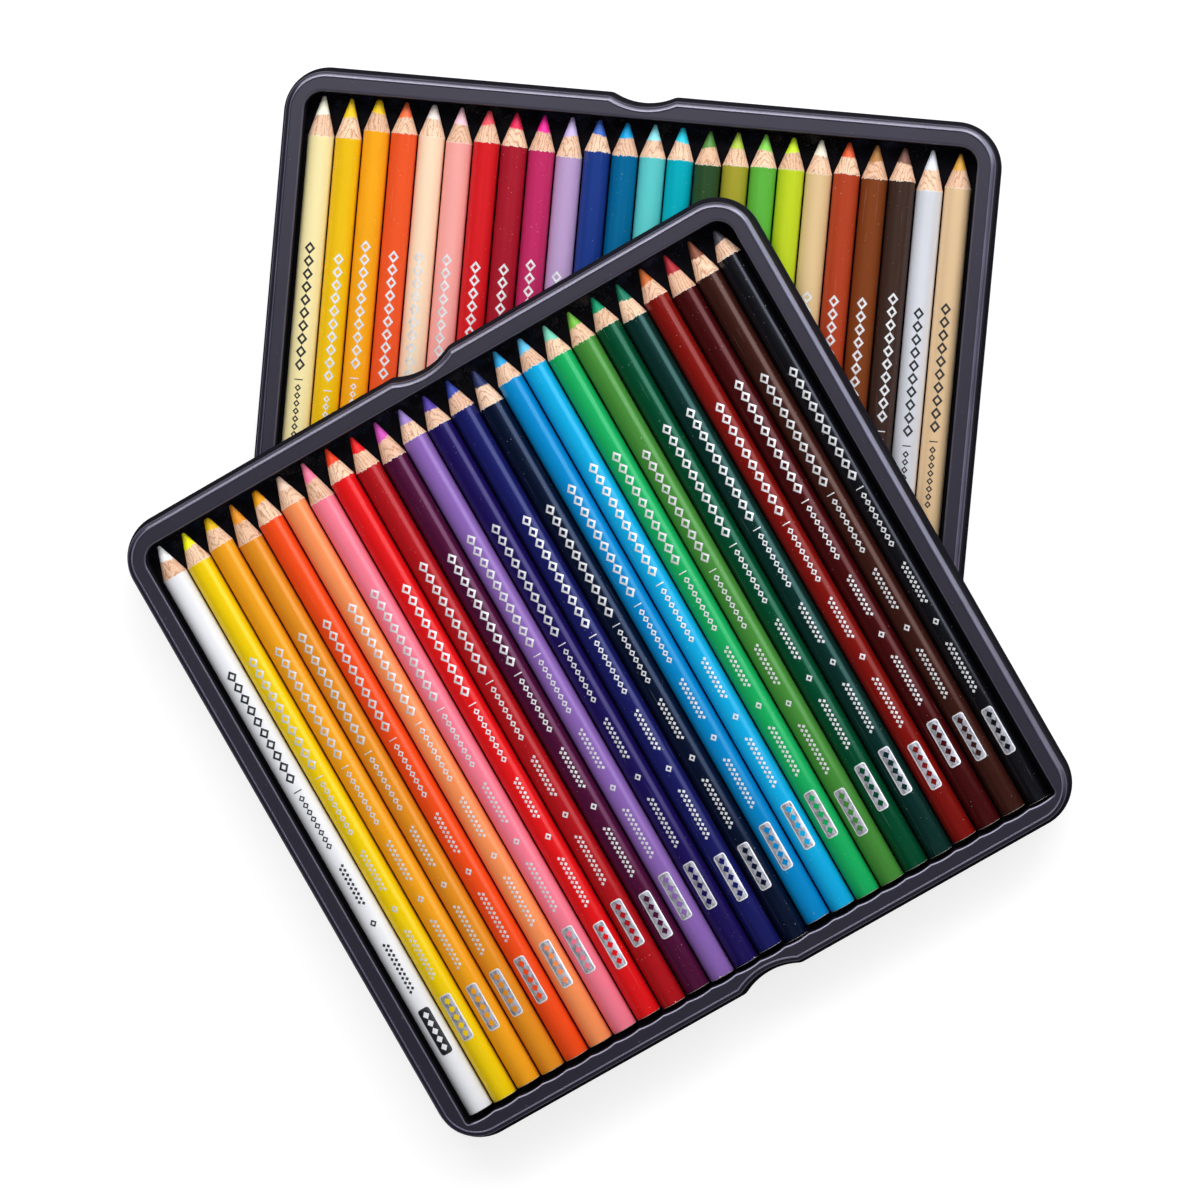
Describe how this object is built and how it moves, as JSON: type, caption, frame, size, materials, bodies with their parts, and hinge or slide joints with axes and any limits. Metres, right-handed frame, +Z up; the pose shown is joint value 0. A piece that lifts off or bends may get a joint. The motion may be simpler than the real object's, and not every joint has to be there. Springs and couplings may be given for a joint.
{
  "type": "pencil set",
  "caption": "Two identical shallow formed trays, one laid turned across the other, each holding a side-by-side row of round sharpened colour pencils in half-round cradles.",
  "frame": {"origin": "on the table, under the middle of the whole set's box", "axes": "+Z up from the table, +Y along the rear tray's pencils towards their points, +X to the right across them"},
  "size_m": [0.2592, 0.2844, 0.021],
  "materials": {
    "tray_plastic": "satin",
    "cream_lacquer": "gloss",
    "gold_yellow_lacquer": "gloss",
    "saffron_lacquer": "gloss",
    "vermilion_lacquer": "gloss",
    "pale_peach_lacquer": "gloss",
    "blush_lacquer": "gloss",
    "red_lacquer": "gloss",
    "dark_red_lacquer": "gloss",
    "magenta_lacquer": "gloss",
    "lavender_lacquer": "gloss",
    "royal_blue_lacquer": "gloss",
    "peacock_lacquer": "gloss",
    "aqua_lacquer": "gloss",
    "teal_lacquer": "gloss",
    "forest_green_lacquer": "gloss",
    "olive_lacquer": "gloss",
    "spring_green_lacquer": "gloss",
    "chartreuse_lacquer": "gloss",
    "sand_lacquer": "gloss",
    "terracotta_lacquer": "gloss",
    "brown_lacquer": "gloss",
    "umber_lacquer": "gloss",
    "silver_lacquer": "gloss",
    "gold_lacquer": "gloss",
    "white_lacquer": "gloss",
    "yellow_lacquer": "gloss",
    "amber_lacquer": "gloss",
    "ochre_lacquer": "gloss",
    "orange_lacquer": "gloss",
    "apricot_lacquer": "gloss",
    "pink_lacquer": "gloss",
    "scarlet_lacquer": "gloss",
    "crimson_lacquer": "gloss",
    "plum_lacquer": "gloss",
    "lilac_lacquer": "gloss",
    "violet_lacquer": "gloss",
    "ultramarine_lacquer": "gloss",
    "navy_lacquer": "gloss",
    "azure_lacquer": "gloss",
    "sky_blue_lacquer": "gloss",
    "green_lacquer": "gloss",
    "lime_green_lacquer": "gloss",
    "emerald_lacquer": "gloss",
    "dark_green_lacquer": "gloss",
    "rust_lacquer": "gloss",
    "maroon_lacquer": "gloss",
    "dark_brown_lacquer": "gloss",
    "black_lacquer": "gloss"
  },
  "bodies": {
    "rear_tray": {"rear_tray": "tray_plastic"},
    "front_tray": {"front_tray": "tray_plastic"},
    "rear_pencil_01_cream": {"rear_pencil_01_cream": "cream_lacquer"},
    "rear_pencil_02_gold_yellow": {"rear_pencil_02_gold_yellow": "gold_yellow_lacquer"},
    "rear_pencil_03_saffron": {"rear_pencil_03_saffron": "saffron_lacquer"},
    "rear_pencil_04_vermilion": {"rear_pencil_04_vermilion": "vermilion_lacquer"},
    "rear_pencil_05_pale_peach": {"rear_pencil_05_pale_peach": "pale_peach_lacquer"},
    "rear_pencil_06_blush": {"rear_pencil_06_blush": "blush_lacquer"},
    "rear_pencil_07_red": {"rear_pencil_07_red": "red_lacquer"},
    "rear_pencil_08_dark_red": {"rear_pencil_08_dark_red": "dark_red_lacquer"},
    "rear_pencil_09_magenta": {"rear_pencil_09_magenta": "magenta_lacquer"},
    "rear_pencil_10_lavender": {"rear_pencil_10_lavender": "lavender_lacquer"},
    "rear_pencil_11_royal_blue": {"rear_pencil_11_royal_blue": "royal_blue_lacquer"},
    "rear_pencil_12_peacock": {"rear_pencil_12_peacock": "peacock_lacquer"},
    "rear_pencil_13_aqua": {"rear_pencil_13_aqua": "aqua_lacquer"},
    "rear_pencil_14_teal": {"rear_pencil_14_teal": "teal_lacquer"},
    "rear_pencil_15_forest_green": {"rear_pencil_15_forest_green": "forest_green_lacquer"},
    "rear_pencil_16_olive": {"rear_pencil_16_olive": "olive_lacquer"},
    "rear_pencil_17_spring_green": {"rear_pencil_17_spring_green": "spring_green_lacquer"},
    "rear_pencil_18_chartreuse": {"rear_pencil_18_chartreuse": "chartreuse_lacquer"},
    "rear_pencil_19_sand": {"rear_pencil_19_sand": "sand_lacquer"},
    "rear_pencil_20_terracotta": {"rear_pencil_20_terracotta": "terracotta_lacquer"},
    "rear_pencil_21_brown": {"rear_pencil_21_brown": "brown_lacquer"},
    "rear_pencil_22_umber": {"rear_pencil_22_umber": "umber_lacquer"},
    "rear_pencil_23_silver": {"rear_pencil_23_silver": "silver_lacquer"},
    "rear_pencil_24_gold": {"rear_pencil_24_gold": "gold_lacquer"},
    "front_pencil_01_white": {"front_pencil_01_white": "white_lacquer"},
    "front_pencil_02_yellow": {"front_pencil_02_yellow": "yellow_lacquer"},
    "front_pencil_03_amber": {"front_pencil_03_amber": "amber_lacquer"},
    "front_pencil_04_ochre": {"front_pencil_04_ochre": "ochre_lacquer"},
    "front_pencil_05_orange": {"front_pencil_05_orange": "orange_lacquer"},
    "front_pencil_06_apricot": {"front_pencil_06_apricot": "apricot_lacquer"},
    "front_pencil_07_pink": {"front_pencil_07_pink": "pink_lacquer"},
    "front_pencil_08_scarlet": {"front_pencil_08_scarlet": "scarlet_lacquer"},
    "front_pencil_09_crimson": {"front_pencil_09_crimson": "crimson_lacquer"},
    "front_pencil_10_plum": {"front_pencil_10_plum": "plum_lacquer"},
    "front_pencil_11_lilac": {"front_pencil_11_lilac": "lilac_lacquer"},
    "front_pencil_12_violet": {"front_pencil_12_violet": "violet_lacquer"},
    "front_pencil_13_ultramarine": {"front_pencil_13_ultramarine": "ultramarine_lacquer"},
    "front_pencil_14_navy": {"front_pencil_14_navy": "navy_lacquer"},
    "front_pencil_15_azure": {"front_pencil_15_azure": "azure_lacquer"},
    "front_pencil_16_sky_blue": {"front_pencil_16_sky_blue": "sky_blue_lacquer"},
    "front_pencil_17_green": {"front_pencil_17_green": "green_lacquer"},
    "front_pencil_18_lime_green": {"front_pencil_18_lime_green": "lime_green_lacquer"},
    "front_pencil_19_emerald": {"front_pencil_19_emerald": "emerald_lacquer"},
    "front_pencil_20_dark_green": {"front_pencil_20_dark_green": "dark_green_lacquer"},
    "front_pencil_21_rust": {"front_pencil_21_rust": "rust_lacquer"},
    "front_pencil_22_maroon": {"front_pencil_22_maroon": "maroon_lacquer"},
    "front_pencil_23_dark_brown": {"front_pencil_23_dark_brown": "dark_brown_lacquer"},
    "front_pencil_24_black": {"front_pencil_24_black": "black_lacquer"}
  },
  "joints": [
    {"name": "front_tray_lift", "type": "slide", "parent": "rear_tray", "child": "front_tray", "axis": [0, 0, 1], "range_m": [0, 0.06]},
    {"name": "rear_pencil_01_cream_lift", "type": "slide", "parent": "rear_tray", "child": "rear_pencil_01_cream", "axis": [0, 0, 1], "range_m": [0, 0.03]},
    {"name": "rear_pencil_02_gold_yellow_lift", "type": "slide", "parent": "rear_tray", "child": "rear_pencil_02_gold_yellow", "axis": [0, 0, 1], "range_m": [0, 0.03]},
    {"name": "rear_pencil_03_saffron_lift", "type": "slide", "parent": "rear_tray", "child": "rear_pencil_03_saffron", "axis": [0, 0, 1], "range_m": [0, 0.03]},
    {"name": "rear_pencil_04_vermilion_lift", "type": "slide", "parent": "rear_tray", "child": "rear_pencil_04_vermilion", "axis": [0, 0, 1], "range_m": [0, 0.03]},
    {"name": "rear_pencil_05_pale_peach_lift", "type": "slide", "parent": "rear_tray", "child": "rear_pencil_05_pale_peach", "axis": [0, 0, 1], "range_m": [0, 0.03]},
    {"name": "rear_pencil_06_blush_lift", "type": "slide", "parent": "rear_tray", "child": "rear_pencil_06_blush", "axis": [0, 0, 1], "range_m": [0, 0.03]},
    {"name": "rear_pencil_07_red_lift", "type": "slide", "parent": "rear_tray", "child": "rear_pencil_07_red", "axis": [0, 0, 1], "range_m": [0, 0.03]},
    {"name": "rear_pencil_08_dark_red_lift", "type": "slide", "parent": "rear_tray", "child": "rear_pencil_08_dark_red", "axis": [0, 0, 1], "range_m": [0, 0.03]},
    {"name": "rear_pencil_09_magenta_lift", "type": "slide", "parent": "rear_tray", "child": "rear_pencil_09_magenta", "axis": [0, 0, 1], "range_m": [0, 0.03]},
    {"name": "rear_pencil_10_lavender_lift", "type": "slide", "parent": "rear_tray", "child": "rear_pencil_10_lavender", "axis": [0, 0, 1], "range_m": [0, 0.03]},
    {"name": "rear_pencil_11_royal_blue_lift", "type": "slide", "parent": "rear_tray", "child": "rear_pencil_11_royal_blue", "axis": [0, 0, 1], "range_m": [0, 0.03]},
    {"name": "rear_pencil_12_peacock_lift", "type": "slide", "parent": "rear_tray", "child": "rear_pencil_12_peacock", "axis": [0, 0, 1], "range_m": [0, 0.03]},
    {"name": "rear_pencil_13_aqua_lift", "type": "slide", "parent": "rear_tray", "child": "rear_pencil_13_aqua", "axis": [0, 0, 1], "range_m": [0, 0.03]},
    {"name": "rear_pencil_14_teal_lift", "type": "slide", "parent": "rear_tray", "child": "rear_pencil_14_teal", "axis": [0, 0, 1], "range_m": [0, 0.03]},
    {"name": "rear_pencil_15_forest_green_lift", "type": "slide", "parent": "rear_tray", "child": "rear_pencil_15_forest_green", "axis": [0, 0, 1], "range_m": [0, 0.03]},
    {"name": "rear_pencil_16_olive_lift", "type": "slide", "parent": "rear_tray", "child": "rear_pencil_16_olive", "axis": [0, 0, 1], "range_m": [0, 0.03]},
    {"name": "rear_pencil_17_spring_green_lift", "type": "slide", "parent": "rear_tray", "child": "rear_pencil_17_spring_green", "axis": [0, 0, 1], "range_m": [0, 0.03]},
    {"name": "rear_pencil_18_chartreuse_lift", "type": "slide", "parent": "rear_tray", "child": "rear_pencil_18_chartreuse", "axis": [0, 0, 1], "range_m": [0, 0.03]},
    {"name": "rear_pencil_19_sand_lift", "type": "slide", "parent": "rear_tray", "child": "rear_pencil_19_sand", "axis": [0, 0, 1], "range_m": [0, 0.03]},
    {"name": "rear_pencil_20_terracotta_lift", "type": "slide", "parent": "rear_tray", "child": "rear_pencil_20_terracotta", "axis": [0, 0, 1], "range_m": [0, 0.03]},
    {"name": "rear_pencil_21_brown_lift", "type": "slide", "parent": "rear_tray", "child": "rear_pencil_21_brown", "axis": [0, 0, 1], "range_m": [0, 0.03]},
    {"name": "rear_pencil_22_umber_lift", "type": "slide", "parent": "rear_tray", "child": "rear_pencil_22_umber", "axis": [0, 0, 1], "range_m": [0, 0.03]},
    {"name": "rear_pencil_23_silver_lift", "type": "slide", "parent": "rear_tray", "child": "rear_pencil_23_silver", "axis": [0, 0, 1], "range_m": [0, 0.03]},
    {"name": "rear_pencil_24_gold_lift", "type": "slide", "parent": "rear_tray", "child": "rear_pencil_24_gold", "axis": [0, 0, 1], "range_m": [0, 0.03]},
    {"name": "front_pencil_01_white_lift", "type": "slide", "parent": "front_tray", "child": "front_pencil_01_white", "axis": [0, 0, 1], "range_m": [0, 0.03]},
    {"name": "front_pencil_02_yellow_lift", "type": "slide", "parent": "front_tray", "child": "front_pencil_02_yellow", "axis": [0, 0, 1], "range_m": [0, 0.03]},
    {"name": "front_pencil_03_amber_lift", "type": "slide", "parent": "front_tray", "child": "front_pencil_03_amber", "axis": [0, 0, 1], "range_m": [0, 0.03]},
    {"name": "front_pencil_04_ochre_lift", "type": "slide", "parent": "front_tray", "child": "front_pencil_04_ochre", "axis": [0, 0, 1], "range_m": [0, 0.03]},
    {"name": "front_pencil_05_orange_lift", "type": "slide", "parent": "front_tray", "child": "front_pencil_05_orange", "axis": [0, 0, 1], "range_m": [0, 0.03]},
    {"name": "front_pencil_06_apricot_lift", "type": "slide", "parent": "front_tray", "child": "front_pencil_06_apricot", "axis": [0, 0, 1], "range_m": [0, 0.03]},
    {"name": "front_pencil_07_pink_lift", "type": "slide", "parent": "front_tray", "child": "front_pencil_07_pink", "axis": [0, 0, 1], "range_m": [0, 0.03]},
    {"name": "front_pencil_08_scarlet_lift", "type": "slide", "parent": "front_tray", "child": "front_pencil_08_scarlet", "axis": [0, 0, 1], "range_m": [0, 0.03]},
    {"name": "front_pencil_09_crimson_lift", "type": "slide", "parent": "front_tray", "child": "front_pencil_09_crimson", "axis": [0, 0, 1], "range_m": [0, 0.03]},
    {"name": "front_pencil_10_plum_lift", "type": "slide", "parent": "front_tray", "child": "front_pencil_10_plum", "axis": [0, 0, 1], "range_m": [0, 0.03]},
    {"name": "front_pencil_11_lilac_lift", "type": "slide", "parent": "front_tray", "child": "front_pencil_11_lilac", "axis": [0, 0, 1], "range_m": [0, 0.03]},
    {"name": "front_pencil_12_violet_lift", "type": "slide", "parent": "front_tray", "child": "front_pencil_12_violet", "axis": [0, 0, 1], "range_m": [0, 0.03]},
    {"name": "front_pencil_13_ultramarine_lift", "type": "slide", "parent": "front_tray", "child": "front_pencil_13_ultramarine", "axis": [0, 0, 1], "range_m": [0, 0.03]},
    {"name": "front_pencil_14_navy_lift", "type": "slide", "parent": "front_tray", "child": "front_pencil_14_navy", "axis": [0, 0, 1], "range_m": [0, 0.03]},
    {"name": "front_pencil_15_azure_lift", "type": "slide", "parent": "front_tray", "child": "front_pencil_15_azure", "axis": [0, 0, 1], "range_m": [0, 0.03]},
    {"name": "front_pencil_16_sky_blue_lift", "type": "slide", "parent": "front_tray", "child": "front_pencil_16_sky_blue", "axis": [0, 0, 1], "range_m": [0, 0.03]},
    {"name": "front_pencil_17_green_lift", "type": "slide", "parent": "front_tray", "child": "front_pencil_17_green", "axis": [0, 0, 1], "range_m": [0, 0.03]},
    {"name": "front_pencil_18_lime_green_lift", "type": "slide", "parent": "front_tray", "child": "front_pencil_18_lime_green", "axis": [0, 0, 1], "range_m": [0, 0.03]},
    {"name": "front_pencil_19_emerald_lift", "type": "slide", "parent": "front_tray", "child": "front_pencil_19_emerald", "axis": [0, 0, 1], "range_m": [0, 0.03]},
    {"name": "front_pencil_20_dark_green_lift", "type": "slide", "parent": "front_tray", "child": "front_pencil_20_dark_green", "axis": [0, 0, 1], "range_m": [0, 0.03]},
    {"name": "front_pencil_21_rust_lift", "type": "slide", "parent": "front_tray", "child": "front_pencil_21_rust", "axis": [0, 0, 1], "range_m": [0, 0.03]},
    {"name": "front_pencil_22_maroon_lift", "type": "slide", "parent": "front_tray", "child": "front_pencil_22_maroon", "axis": [0, 0, 1], "range_m": [0, 0.03]},
    {"name": "front_pencil_23_dark_brown_lift", "type": "slide", "parent": "front_tray", "child": "front_pencil_23_dark_brown", "axis": [0, 0, 1], "range_m": [0, 0.03]},
    {"name": "front_pencil_24_black_lift", "type": "slide", "parent": "front_tray", "child": "front_pencil_24_black", "axis": [0, 0, 1], "range_m": [0, 0.03]}
  ],
  "couplings": [
    {"joint": "rear_pencil_01_cream_lift", "follows": "front_tray_lift", "ratio": 0.5},
    {"joint": "rear_pencil_02_gold_yellow_lift", "follows": "front_tray_lift", "ratio": 0.5},
    {"joint": "rear_pencil_03_saffron_lift", "follows": "front_tray_lift", "ratio": 0.5},
    {"joint": "rear_pencil_04_vermilion_lift", "follows": "front_tray_lift", "ratio": 0.5},
    {"joint": "rear_pencil_05_pale_peach_lift", "follows": "front_tray_lift", "ratio": 0.5},
    {"joint": "rear_pencil_06_blush_lift", "follows": "front_tray_lift", "ratio": 0.5},
    {"joint": "rear_pencil_07_red_lift", "follows": "front_tray_lift", "ratio": 0.5},
    {"joint": "rear_pencil_08_dark_red_lift", "follows": "front_tray_lift", "ratio": 0.5},
    {"joint": "rear_pencil_09_magenta_lift", "follows": "front_tray_lift", "ratio": 0.5},
    {"joint": "rear_pencil_10_lavender_lift", "follows": "front_tray_lift", "ratio": 0.5},
    {"joint": "rear_pencil_11_royal_blue_lift", "follows": "front_tray_lift", "ratio": 0.5},
    {"joint": "rear_pencil_12_peacock_lift", "follows": "front_tray_lift", "ratio": 0.5},
    {"joint": "rear_pencil_13_aqua_lift", "follows": "front_tray_lift", "ratio": 0.5},
    {"joint": "rear_pencil_14_teal_lift", "follows": "front_tray_lift", "ratio": 0.5},
    {"joint": "rear_pencil_15_forest_green_lift", "follows": "front_tray_lift", "ratio": 0.5},
    {"joint": "rear_pencil_16_olive_lift", "follows": "front_tray_lift", "ratio": 0.5},
    {"joint": "rear_pencil_17_spring_green_lift", "follows": "front_tray_lift", "ratio": 0.5},
    {"joint": "rear_pencil_18_chartreuse_lift", "follows": "front_tray_lift", "ratio": 0.5},
    {"joint": "rear_pencil_19_sand_lift", "follows": "front_tray_lift", "ratio": 0.5},
    {"joint": "rear_pencil_20_terracotta_lift", "follows": "front_tray_lift", "ratio": 0.5},
    {"joint": "rear_pencil_21_brown_lift", "follows": "front_tray_lift", "ratio": 0.5},
    {"joint": "rear_pencil_22_umber_lift", "follows": "front_tray_lift", "ratio": 0.5},
    {"joint": "rear_pencil_23_silver_lift", "follows": "front_tray_lift", "ratio": 0.5},
    {"joint": "rear_pencil_24_gold_lift", "follows": "front_tray_lift", "ratio": 0.5}
  ]
}
